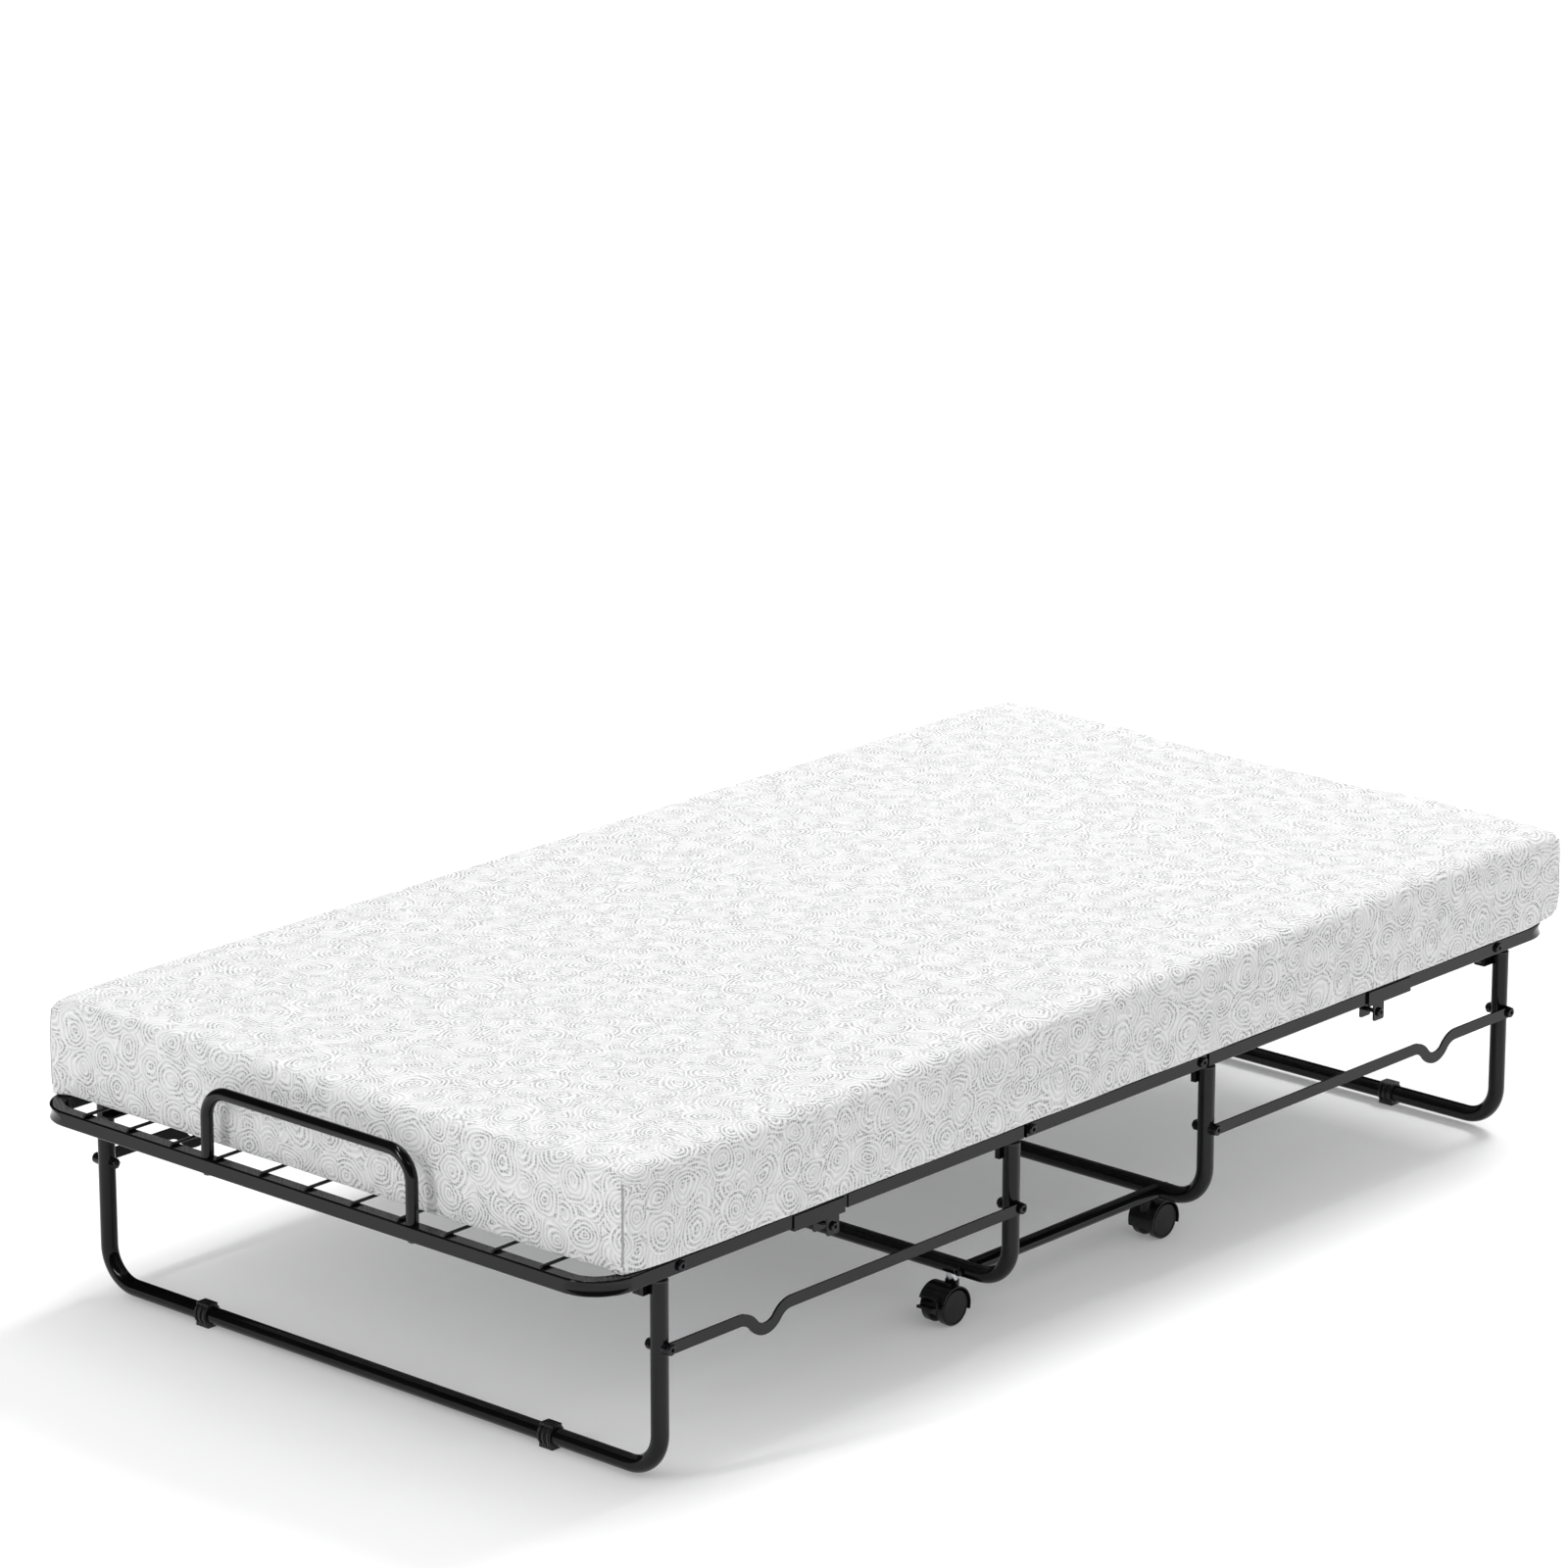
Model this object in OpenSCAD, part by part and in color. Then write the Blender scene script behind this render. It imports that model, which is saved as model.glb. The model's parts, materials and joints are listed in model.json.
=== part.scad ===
// Rollaway bed: folding steel frame on casters with a foam mattress.
// Units are millimetres. X runs from foot (-) to head (+), Z is up, the floor is Z = 0.

/* [Deck] */
// Length over the two end rails
frame_length = 1905; // [1800:5:2000]
// Width over the side rails
frame_width = 982; // [850:2:1100]
// Height of the fold pivots above the floor
pivot_height = 273; // [250:1:300]
// Distance from the bed's centre to each fold pivot
pivot_x = 171; // [160:1:185]
// Distance from a fold pivot to its end-leg pivot
arm_length = 642; // [620:1:660]

/* [Rails] */
// Side of the square rail tube
rail = 20; // [18:1:25]
// Edge rounding of the square tube
rail_round = 2.5; // [2:0.5:4]
// Wall of the square tube
rail_wall = 1.2; // [1:0.1:2]
// Outer radius of the bent corners
corner_radius = 58; // [50:1:70]
// Depth that the outer wall sinks in at a bent corner
corner_dent = 2.4; // [1:0.1:3]

/* [Legs and links] */
// Outer diameter of the leg tube
leg_tube = 22.2; // [19:0.1:25.4]
// Wall of the leg tube
leg_wall = 1.2; // [1:0.1:2]
// Bend radius of the leg tube, to its centre line
leg_bend = 48; // [40:1:60]
// Distance of a leg's axis outboard of its pivot
leg_offset = 24.5; // [23:0.5:26]
// Height of the casters' cross tube
wheel_tube_height = 73; // [70:1:80]
// Height of the end legs' bottom tube
foot_tube_height = 16.1; // [15:0.1:20]
// Drop from a fold pivot to its link pivot
link_drop = 97; // [90:1:105]
// Width of the link strap
link_width = 15; // [12:1:18]
// Thickness of the link strap
link_thickness = 3; // [2:0.5:4]
// Distance from the wheel leg's link pivot to the middle of the link's bow
bow_place = 474; // [465:1:485]
// How far the link bows out around the splice bolt
bow_height = 22; // [20:1:26]
// Half the length of the bow
bow_half = 46; // [40:1:55]

/* [Splice] */
// Distance from the fold pivot to the splice bolt
splice_bolt_place = 374; // [370:1:378]
// Drop of the splice bolt below the rail's axis
splice_bolt_drop = 24.4; // [22:0.2:26]
// Width of the open seam between the rails
splice_seam = 8; // [5:0.5:12]
// Length of the splice channel
splice_length = 92; // [80:1:100]

/* [Wire deck] */
// Diameter of the long wires
wire = 4.5; // [4:0.1:5]
// Diameter of the cross wires
cross_wire = 4; // [3.5:0.1:4.5]
// Spacing of the long wires
wire_pitch = 79; // [70:1:85]

/* [Handle loops and latch] */
// Diameter of the handle tube
loop_tube = 16; // [14:0.5:19]
// Height of the grip's axis above the rail
loop_height = 87.5; // [80:0.5:95]
// Half the distance between the loop's feet
loop_half = 177; // [160:1:190]
// Bend radius of the loop
loop_bend = 36; // [30:1:45]
// Lean of the hanging latch away from the end rail, in degrees
latch_lean = 8; // [7.8:0.1:9]

/* [Mattress] */
// Thickness of the mattress
mattress_thickness = 125; // [100:1:130]
// Width of the mattress
mattress_width = 976; // [940:2:980]
// Distance from the centre to the foot end of the mattress
mattress_foot = 908; // [890:1:920]
// Distance from the centre to the head end of the mattress
mattress_head = 932; // [920:1:932]
// Corner radius of the mattress in plan
mattress_corner = 24; // [15:1:40]

/* [Casters] */
// Radius of a caster wheel
wheel_radius = 24.5; // [22:0.5:26]
// Distance of the wheel axle from the swivel axis
caster_trail = 15; // [12:1:18]
// Distance of the swivel axis inside the leg's axis
caster_inset = 95; // [90:1:105]
// Distance of a stretcher inside the leg's axis
stretcher_inset = 74; // [70:1:78]
// Diameter of the stretcher tube
stretcher_tube = 19; // [16:1:20]
// Distance from the bed's middle to each foot pad
foot_pad_y = 300; // [280:1:320]

/* [Hidden] */
$fn = 48;
half_length = frame_length / 2;
half_width = frame_width / 2;
rail_y = half_width - rail / 2;
rail_in = half_width - rail;
rail_top = pivot_height + rail / 2;
rail_low = pivot_height - rail / 2;
leg_r = leg_tube / 2;
leg_y = half_width - leg_r - 0.4;
leg_top = rail_low - 5;
cap_height = 3.6;
link_z = pivot_height - link_drop;
link_inner = leg_y + leg_r + 2.9;
bolt_r = 4;
fixed_gap = 0.03;
running_gap = 0.06;
head_r = 7;
head_height = 4.4;
small_bolt_r = 3;
small_head_r = 6;
nut_r = 7.2;
nut_height = 6.5;
dome_r = 5.6;
seam_in = 8.5;
seam_out = 14.5;
rail_mid_end = splice_bolt_place - 30;
rail_end_start = rail_mid_end + splice_seam;
inner_bar_place = 71;
splice_bar_place = rail_mid_end - rail / 2 - 1;
outer_bar_place = 464;
centre_bar_x = 91;
end_rail_place = half_length - rail / 2 - pivot_x;
wire_z = rail_top + wire / 2;
cross_z = rail_top + cross_wire / 2;
plate = 3;
hinge_plate_length = 60;
bracket_web = 4;
mattress_base = rail_top + wire + 0.3;
mattress_split = pivot_x + 15.5;
grip_z = rail_top + loop_height;
grip_x = half_length - rail / 2;
latch_reach = 2 * (pivot_x - rail / 2 - loop_height);
latch_band = 2.4;
hook_tip = 25;
hook_r = loop_tube / 2 + 0.4;
hook_reach = latch_reach * sin(latch_lean) + (hook_r + latch_band) * cos(latch_lean - 90 + hook_tip);
centre_x = -(hook_reach - rail / 2) / 2;
caster_x = pivot_x + leg_offset;
caster_y = leg_y - caster_inset;
socket_low = 54.5;
socket_top = wheel_tube_height - leg_r;
fender_r = wheel_radius + 3.2;
lever_place = 148;
lever_pivot_r = fender_r + 4;

frame_colour = "#1c1c1e";
bolt_colour = "#141416";
plastic_colour = "#161618";
chrome_colour = "#c9cbce";
cover_colour = "#f1f0ee";

// Placing

module centred() {
    translate([centre_x, 0, 0]) children();
}

module foot_half() {
    centred() children();
}

module head_half() {
    centred() mirror([1, 0, 0]) children();
}

module both_sides() {
    children();
    mirror([0, 1, 0]) children();
}

// Tubes and profiles

module rounded_square(side, round) {
    square([side - 2 * round, side], center = true);
    square([side, side - 2 * round], center = true);
    for (a = [-1, 1], b = [-1, 1])
        translate([a * (side / 2 - round), b * (side / 2 - round)]) circle(round);
}

module square_tube(length) {
    difference() {
        linear_extrude(length) rounded_square(rail, rail_round);
        translate([0, 0, -1]) linear_extrude(length + 2)
            rounded_square(rail - 2 * rail_wall, rail_round - rail_wall);
    }
}

module rail_along_x(x0, x1, y) {
    translate([x0, y, pivot_height]) rotate([90, 0, 90]) square_tube(x1 - x0);
}

module bar_along_y(x, half) {
    translate([x, -half, pivot_height]) rotate([-90, 0, 0]) square_tube(2 * half);
}

module round_rod(length, r) {
    cylinder(h = length, r = r);
}

module rod_along_y(x, y0, y1, z, r) {
    translate([x, y0, z]) rotate([-90, 0, 0]) round_rod(y1 - y0, r);
}

module rod_along_x(x0, x1, y, z, r) {
    translate([x0, y, z]) rotate([0, 90, 0]) round_rod(x1 - x0, r);
}

// A cutting ring that sinks the outer wall of a bend; it fades out before the bend's ends.
module bend_dent(extra) {
    dent_ring = 16;
    shift = (corner_dent + 0.35) / (1 - cos(45));
    reach = corner_radius - corner_dent + shift;
    translate([-shift * cos(45), -shift * sin(45), 0])
        rotate_extrude() translate([reach + dent_ring, 0]) circle(dent_ring + extra);
}

module bend_solid(side, round, extra) {
    difference() {
        rotate_extrude(angle = 90) translate([corner_radius - rail / 2, 0]) rounded_square(side, round);
        bend_dent(extra);
    }
}

module bent_corner() {
    difference() {
        bend_solid(rail, rail_round, 0);
        bend_solid(rail - 2 * rail_wall, rail_round - rail_wall, rail_wall);
    }
}

// Fasteners: the head is at y = outer and points to +Y, the nut is on the inner side.

module bolt_head(r, height) {
    difference() {
        union() {
            cylinder(h = height - 1.2, r = r);
            translate([0, 0, height - 1.2]) cylinder(h = 1.2, r1 = r, r2 = r - 1.6);
        }
        translate([0, 0, height - 2.4]) cylinder(h = 3, r = r * 0.42, $fn = 6);
    }
}

module dome_nut(r, height, dome) {
    cylinder(h = height, r = r, $fn = 6);
    translate([0, 0, height - 1.5]) sphere(dome);
}

module y_bolt(x, z, outer, inner, r, cap, nut, height, dome) {
    translate([x, outer, z]) rotate([-90, 0, 0]) bolt_head(cap, head_height * cap / head_r);
    rod_along_y(x, inner - 1, outer + 0.5, z, r);
    translate([x, inner, z]) rotate([90, 0, 0]) dome_nut(nut, height, dome);
}

module y_hole(x, z, r) {
    rod_along_y(x, rail_in - 30, half_width + 30, z, r);
}

// Centre deck and wheel frame

module centre_side_rails() {
    color(frame_colour) centred() both_sides() difference() {
        rail_along_x(-pivot_x - seam_in, pivot_x + seam_in, rail_y);
        for (s = [-1, 1]) y_hole(s * pivot_x, pivot_height, bolt_r + fixed_gap);
    }
}

module centre_crossbars() {
    color(frame_colour) centred() for (s = [-1, 1]) bar_along_y(s * centre_bar_x, rail_in);
}

module long_wires(x0, x1) {
    for (k = [-5:5]) rod_along_x(x0, x1, k * wire_pitch, wire_z, wire / 2);
}

module centre_wires() {
    color(frame_colour) centred() long_wires(-centre_bar_x - 30, centre_bar_x + 30);
}

module u_path(r, x, height, top) {
    straight = leg_y - leg_bend;
    rod_along_y(x, -straight, straight, height, r);
    both_sides() {
        translate([x, straight, height + leg_bend]) rotate([90, 0, 90]) rotate([0, 0, -90])
            rotate_extrude(angle = 90) translate([leg_bend, 0]) circle(r);
        translate([x, leg_y, height + leg_bend]) round_rod(top - height - leg_bend, r);
    }
}

module u_leg(x, height) {
    difference() {
        u_path(leg_r, x, height, leg_top);
        u_path(leg_r - leg_wall, x, height, leg_top + 1);
        both_sides() y_hole(x, link_z, bolt_r + fixed_gap);
    }
}

module wheel_leg() {
    difference() {
        u_leg(-caster_x, wheel_tube_height);
        both_sides() rod_along_x(-caster_x - 20, -caster_x + 20, leg_y - stretcher_inset,
            wheel_tube_height, bolt_r + fixed_gap);
    }
}

module foot_wheel_leg() {
    color(frame_colour) foot_half() wheel_leg();
}

module head_wheel_leg() {
    color(frame_colour) head_half() wheel_leg();
}

module stretchers() {
    end_x = caster_x - leg_r + 2;
    color(frame_colour) centred() both_sides() difference() {
        rod_along_x(-end_x, end_x, leg_y - stretcher_inset, wheel_tube_height, stretcher_tube / 2);
        rod_along_x(-end_x + 25, end_x - 25, leg_y - stretcher_inset, wheel_tube_height,
            stretcher_tube / 2 - leg_wall);
        for (s = [-1, 1]) {
            rod_along_y(s * caster_x, -half_width, half_width, wheel_tube_height, leg_r + fixed_gap);
            rod_along_x(s * end_x - 22, s * end_x + 22, leg_y - stretcher_inset, wheel_tube_height,
                bolt_r + fixed_gap);
        }
    }
}

module stretcher_bolt() {
    translate([-caster_x - leg_r - 1.4, leg_y - stretcher_inset, wheel_tube_height]) {
        rotate([0, -90, 0]) bolt_head(small_head_r, head_height * small_head_r / head_r);
        rotate([0, 90, 0]) round_rod(2 * leg_r + 15, bolt_r);
    }
}

module stretcher_bolts() {
    color(bolt_colour) both_sides() {
        foot_half() stretcher_bolt();
        head_half() stretcher_bolt();
    }
}

// The channel that carries a wheel leg under the centre rail and stays clear of the hinge plate.
module wheel_leg_bracket() {
    web_y = rail_in - bracket_web - 3.5;
    low = rail_low - 25;
    difference() {
        union() {
            translate([-caster_x - 18, web_y, rail_low]) cube([caster_x + 18 - 120, bracket_web, rail]);
            translate([-caster_x - 13, web_y, low]) cube([26, bracket_web, rail_top - low]);
            translate([-152, web_y, rail_low]) cube([30, rail_in - web_y, rail]);
            translate([-caster_x - 13, web_y, low]) cube([26, rail_in - web_y, 18]);
            translate([-caster_x - 18, web_y - 12, rail_top - plate])
                cube([caster_x + 18 - 120, 12, plate]);
        }
        translate([-caster_x, leg_y, 0]) round_rod(leg_top + 50, leg_r + fixed_gap);
        y_hole(-pivot_x, pivot_height, bolt_r + fixed_gap);
    }
}

module wheel_leg_brackets() {
    color(frame_colour) both_sides() {
        foot_half() wheel_leg_bracket();
        head_half() wheel_leg_bracket();
    }
}

module leg_cap(x) {
    translate([x, leg_y, leg_top]) {
        cylinder(h = cap_height - 1.5, r = leg_r);
        translate([0, 0, cap_height - 1.5]) cylinder(h = 1.5, r1 = leg_r, r2 = leg_r - 2);
        translate([0, 0, -9]) cylinder(h = 10, r = leg_r - leg_wall - fixed_gap);
    }
}

module wheel_leg_caps() {
    color(plastic_colour) both_sides() {
        foot_half() leg_cap(-caster_x);
        head_half() leg_cap(-caster_x);
    }
}

module fold_pivot_bolt() {
    y_bolt(-pivot_x, pivot_height, half_width, rail_in - bracket_web - 3.5,
        bolt_r, head_r, nut_r, nut_height, dome_r);
}

module fold_pivot_bolts() {
    color(bolt_colour) both_sides() {
        foot_half() fold_pivot_bolt();
        head_half() fold_pivot_bolt();
    }
}

module link_bolt(x) {
    difference() {
        union() {
            y_bolt(x, link_z, link_inner + link_thickness + 0.1, leg_y - leg_r,
                bolt_r, head_r, nut_r, nut_height, dome_r);
            rod_along_y(x, leg_y, link_inner - 0.1, link_z, head_r + 0.8);
        }
        translate([x, leg_y, link_z - 20]) round_rod(40, leg_r + fixed_gap);
    }
    rod_along_y(x, leg_y - leg_r - 1, leg_y + leg_r + 1, link_z, bolt_r);
}

module wheel_leg_link_bolts() {
    color(bolt_colour) both_sides() {
        foot_half() link_bolt(-caster_x);
        head_half() link_bolt(-caster_x);
    }
}

// Casters

module caster_socket() {
    translate([-caster_x, caster_y, 0]) difference() {
        translate([0, 0, socket_low]) cylinder(h = socket_top - socket_low + 3, r = 8);
        translate([0, 0, socket_low - 1]) cylinder(h = 30, r = 5 + running_gap);
        translate([0, -20, wheel_tube_height]) rotate([-90, 0, 0]) round_rod(40, leg_r + fixed_gap);
    }
}

module caster_sockets() {
    color(chrome_colour) both_sides() {
        foot_half() caster_socket();
        head_half() caster_socket();
    }
}

// Caster parts are drawn with the swivel axis at the origin and the wheel trailing to -X.
module at_axle() {
    translate([-caster_trail, 0, wheel_radius]) rotate([90, 0, 0]) children();
}

module at_lever_pivot() {
    at_axle() rotate([0, 0, lever_place]) translate([lever_pivot_r, 0, 0]) children();
}

module caster_hood(braked) {
    fender_half = 20.5;
    wheel_room = wheel_radius + 1.2;
    difference() {
        union() {
            at_axle() translate([0, 0, -6]) cylinder(h = 12, r = fender_r);
            difference() {
                at_axle() translate([0, 0, -fender_half]) cylinder(h = 2 * fender_half, r = fender_r);
                at_axle() translate([0, 0, -fender_half - 1]) cylinder(h = 2 * fender_half + 2, r = wheel_room);
            }
            translate([0, 0, 36]) cylinder(h = socket_low - 36 - 0.5, r = 9);
            cylinder(h = socket_top - 1, r = 5);
            if (braked) {
                at_lever_pivot() translate([0, 0, -7]) cylinder(h = 14, r = 3.2);
                at_lever_pivot() translate([-5.5, -2.4, -7]) cube([5.5, 4.8, 14]);
            }
        }
        translate([-caster_trail - 50, -30, -40]) cube([100, 60, 40 + wheel_radius - 8]);
        at_axle() translate([0, 0, -15]) cylinder(h = 30, r = 3 + running_gap);
        for (s = [-1, 1]) translate([0, s * 13.1, 0]) at_axle()
            translate([0, 0, -7]) cylinder(h = 14, r = wheel_room);
        if (braked) {
            at_lever_pivot() translate([0, 0, -10]) cylinder(h = 20, r = 1.2 + running_gap);
            at_axle() rotate([0, 0, lever_place + 8]) rotate_extrude(angle = 50)
                translate([wheel_radius - 1.5, -25]) square([12, 50]);
        }
    }
}

module wheel_disc() {
    rotate_extrude() polygon([[0, 0], [wheel_radius - 2, 0], [wheel_radius, 2], [wheel_radius, 11],
        [wheel_radius - 2.4, 13.2], [wheel_radius - 3.2, 13.2], [wheel_radius - 4, 12.4],
        [6, 12.9], [0, 13]]);
}

module caster_wheels() {
    at_axle() {
        translate([0, 0, 6.4]) wheel_disc();
        mirror([0, 0, 1]) translate([0, 0, 6.4]) wheel_disc();
        translate([0, 0, -8]) cylinder(h = 16, r = 3);
    }
}

module brake_lever() {
    inner_r = fender_r + 0.8;
    at_lever_pivot() {
        for (s = [-1, 1]) translate([0, 0, s * 10.2 - 2.8]) cylinder(h = 5.6, r = 3.1);
        translate([0, 0, -9]) cylinder(h = 18, r = 1.2);
    }
    at_axle() {
        for (s = [-1, 1]) translate([0, 0, s * 10.2 - 2.6]) rotate([0, 0, lever_place + 1])
            rotate_extrude(angle = 16) translate([inner_r + 0.4, 0]) square([4, 5.2]);
        translate([0, 0, -13.4]) rotate([0, 0, lever_place + 10])
            rotate_extrude(angle = 16) translate([inner_r, 0]) square([3.6, 26.8]);
        translate([0, 0, -13]) rotate([0, 0, lever_place + 22])
            translate([inner_r + 1, 0, 0]) cube([9.4, 3.6, 26]);
    }
}

module at_caster(side) {
    translate([-caster_x, side * caster_y, 0]) children();
}

module hood_foot_near() {
    color(plastic_colour) foot_half() at_caster(-1) caster_hood(true);
}

module hood_foot_far() {
    color(plastic_colour) foot_half() at_caster(1) caster_hood(true);
}

module hood_head_near() {
    color(plastic_colour) head_half() at_caster(-1) caster_hood(false);
}

module hood_head_far() {
    color(plastic_colour) head_half() at_caster(1) caster_hood(false);
}

module wheels_foot_near() {
    color(plastic_colour) foot_half() at_caster(-1) caster_wheels();
}

module wheels_foot_far() {
    color(plastic_colour) foot_half() at_caster(1) caster_wheels();
}

module wheels_head_near() {
    color(plastic_colour) head_half() at_caster(-1) caster_wheels();
}

module wheels_head_far() {
    color(plastic_colour) head_half() at_caster(1) caster_wheels();
}

module brake_lever_near() {
    color(plastic_colour) foot_half() at_caster(-1) brake_lever();
}

module brake_lever_far() {
    color(plastic_colour) foot_half() at_caster(1) brake_lever();
}

// Folding half of the deck, drawn on the foot side

module end_frame() {
    bend_x = half_length - corner_radius;
    bend_y = half_width - corner_radius;
    difference() {
        union() {
            both_sides() {
                rail_along_x(-bend_x, -pivot_x - rail_end_start, rail_y);
                translate([-bend_x, bend_y, pivot_height]) rotate([0, 0, 90]) bent_corner();
            }
            bar_along_y(-half_length + rail / 2, bend_y);
        }
        both_sides() {
            y_hole(-pivot_x - arm_length, pivot_height, bolt_r + fixed_gap);
            translate([-grip_x, loop_half, rail_low - 5]) round_rod(rail + 10, bolt_r + fixed_gap);
        }
    }
}

module mid_rail() {
    sleeve = rail - 2 * rail_wall - 0.4;
    rail_along_x(-pivot_x - rail_mid_end, -pivot_x - seam_out, rail_y);
    translate([-pivot_x - rail_end_start - 40, rail_y, pivot_height]) rotate([90, 0, 90]) difference() {
        linear_extrude(40 + splice_seam + 40) rounded_square(sleeve, 1.2);
        translate([0, 0, -1]) linear_extrude(42 + splice_seam + 40) rounded_square(sleeve - 4, 0.8);
    }
}

module mid_rails() {
    both_sides() mid_rail();
}

module deck_crossbars() {
    for (s = [inner_bar_place, splice_bar_place, outer_bar_place])
        bar_along_y(-pivot_x - s, rail_in);
}

module end_wires() {
    span = end_rail_place - outer_bar_place;
    long_wires(-half_length + 4, -pivot_x - outer_bar_place + 9);
    for (t = [1, 2])
        rod_along_y(-pivot_x - outer_bar_place - span * t / 3, -half_width + 6, half_width - 6,
            cross_z, cross_wire / 2);
}

module mid_wires() {
    middle = (inner_bar_place + splice_bar_place) / 2;
    long_wires(-pivot_x - splice_bar_place - 9, -pivot_x - inner_bar_place + 9);
    rod_along_y(-pivot_x - middle, -half_width + 6, half_width - 6, cross_z, cross_wire / 2);
}

module splice_channel() {
    start = -pivot_x - rail_end_start - splice_length;
    tab = 22;
    low = rail_low - 2.4;
    tab_low = pivot_height - splice_bolt_drop - 11;
    bolt_x = -pivot_x - splice_bolt_place;
    difference() {
        union() {
            for (y = [half_width, rail_in - 2]) {
                translate([start, y, low]) cube([splice_length, 2, rail_top - 3 - low]);
                translate([bolt_x - tab / 2, y, tab_low + 3]) cube([tab, 2, low + 1 - tab_low - 3]);
                translate([bolt_x - tab / 2 + 3, y, tab_low]) cube([tab - 6, 2, 4]);
                for (s = [-1, 1]) translate([bolt_x + s * (tab / 2 - 3), y, tab_low + 3])
                    rotate([-90, 0, 0]) cylinder(h = 2, r = 3);
            }
            translate([start, rail_in - 2, low]) cube([splice_length - 32, rail + 4, 2.4]);
        }
        y_hole(bolt_x, pivot_height - splice_bolt_drop, small_bolt_r + fixed_gap);
    }
}

module splice_channels() {
    both_sides() splice_channel();
}

module hinge_plate() {
    end_x = -pivot_x - hinge_plate_length;
    difference() {
        union() {
            translate([end_x, rail_in - plate, pivot_height - 9]) cube([hinge_plate_length, plate, 18]);
            translate([-pivot_x, rail_in, pivot_height]) rotate([90, 0, 0]) cylinder(h = plate, r = 9);
        }
        y_hole(-pivot_x, pivot_height, bolt_r + running_gap);
        translate([-pivot_x - seam_out, rail_in - 0.4, pivot_height - 12]) cube([40, 1, 24]);
    }
}

module hinge_plates() {
    both_sides() hinge_plate();
}

module loop_path(r, low) {
    rod_along_y(-grip_x, -loop_half + loop_bend, loop_half - loop_bend, grip_z, r);
    both_sides() {
        translate([-grip_x, loop_half - loop_bend, grip_z - loop_bend]) rotate([90, 0, 90])
            rotate_extrude(angle = 90) translate([loop_bend, 0]) circle(r);
        translate([-grip_x, loop_half, low]) round_rod(grip_z - loop_bend - low, r);
    }
}

module handle_loop() {
    difference() {
        loop_path(loop_tube / 2, rail_top);
        difference() {
            loop_path(loop_tube / 2 - 1.4, rail_top - 1);
            both_sides() translate([-grip_x, loop_half, rail_top - 2]) round_rod(18, loop_tube);
        }
        both_sides() translate([-grip_x, loop_half, rail_top - 2]) round_rod(20, bolt_r + fixed_gap);
    }
}

module frame_bolts() {
    both_sides() {
        translate([-grip_x, loop_half, rail_low]) {
            rotate([180, 0, 0]) bolt_head(small_head_r, head_height * small_head_r / head_r);
            translate([0, 0, -0.5]) round_rod(rail + 14, bolt_r);
        }
        y_bolt(-pivot_x - splice_bolt_place, pivot_height - splice_bolt_drop, half_width + 2, rail_in - 2,
            small_bolt_r, small_head_r, 5.6, 4.5, 4.2);
    }
}

module leg_pivot_bolt() {
    y_bolt(-pivot_x - arm_length, pivot_height, half_width, rail_in - plate - 2.6,
        bolt_r, head_r, nut_r, nut_height, dome_r);
}

module leg_pivot_bolts() {
    both_sides() leg_pivot_bolt();
}

module mattress_block(x0, x1) {
    y = mattress_width / 2;
    translate([x0, -y, mattress_base]) cube([x1 - x0, 2 * y, mattress_thickness]);
}

module mattress_end(x_end) {
    y = mattress_width / 2;
    translate([0, 0, mattress_base]) linear_extrude(mattress_thickness) {
        translate([-x_end + mattress_corner, -y])
            square([x_end - mattress_corner - mattress_split, 2 * y]);
        translate([-x_end, -y + mattress_corner]) square([mattress_corner, 2 * (y - mattress_corner)]);
        for (s = [-1, 1]) translate([-x_end + mattress_corner, s * (y - mattress_corner)])
            circle(mattress_corner);
    }
}

module mattress_centre() {
    color(cover_colour) centred() mattress_block(-mattress_split, mattress_split);
}

module foot_end_frame() {
    color(frame_colour) foot_half() end_frame();
}

module foot_mid_rails() {
    color(frame_colour) foot_half() mid_rails();
}

module foot_crossbars() {
    color(frame_colour) foot_half() deck_crossbars();
}

module foot_end_wires() {
    color(frame_colour) foot_half() end_wires();
}

module foot_mid_wires() {
    color(frame_colour) foot_half() mid_wires();
}

module foot_splice_channels() {
    color(frame_colour) foot_half() splice_channels();
}

module foot_hinge_plates() {
    color(frame_colour) foot_half() hinge_plates();
}

module foot_handle_loop() {
    color(frame_colour) foot_half() handle_loop();
}

module foot_frame_bolts() {
    color(bolt_colour) foot_half() frame_bolts();
}

module foot_leg_pivot_bolts() {
    color(bolt_colour) foot_half() leg_pivot_bolts();
}

module foot_mattress() {
    color(cover_colour) foot_half() mattress_end(mattress_foot);
}

module head_end_frame() {
    color(frame_colour) head_half() end_frame();
}

module head_mid_rails() {
    color(frame_colour) head_half() mid_rails();
}

module head_crossbars() {
    color(frame_colour) head_half() deck_crossbars();
}

module head_end_wires() {
    color(frame_colour) head_half() end_wires();
}

module head_mid_wires() {
    color(frame_colour) head_half() mid_wires();
}

module head_splice_channels() {
    color(frame_colour) head_half() splice_channels();
}

module head_hinge_plates() {
    color(frame_colour) head_half() hinge_plates();
}

module head_handle_loop() {
    color(frame_colour) head_half() handle_loop();
}

module head_frame_bolts() {
    color(bolt_colour) head_half() frame_bolts();
}

module head_leg_pivot_bolts() {
    color(bolt_colour) head_half() leg_pivot_bolts();
}

module head_mattress() {
    color(cover_colour) head_half() mattress_end(mattress_head);
}

// End legs, drawn on the foot side

end_leg_x = -pivot_x - arm_length - leg_offset;

module end_leg() {
    u_leg(end_leg_x, foot_tube_height);
}

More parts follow.
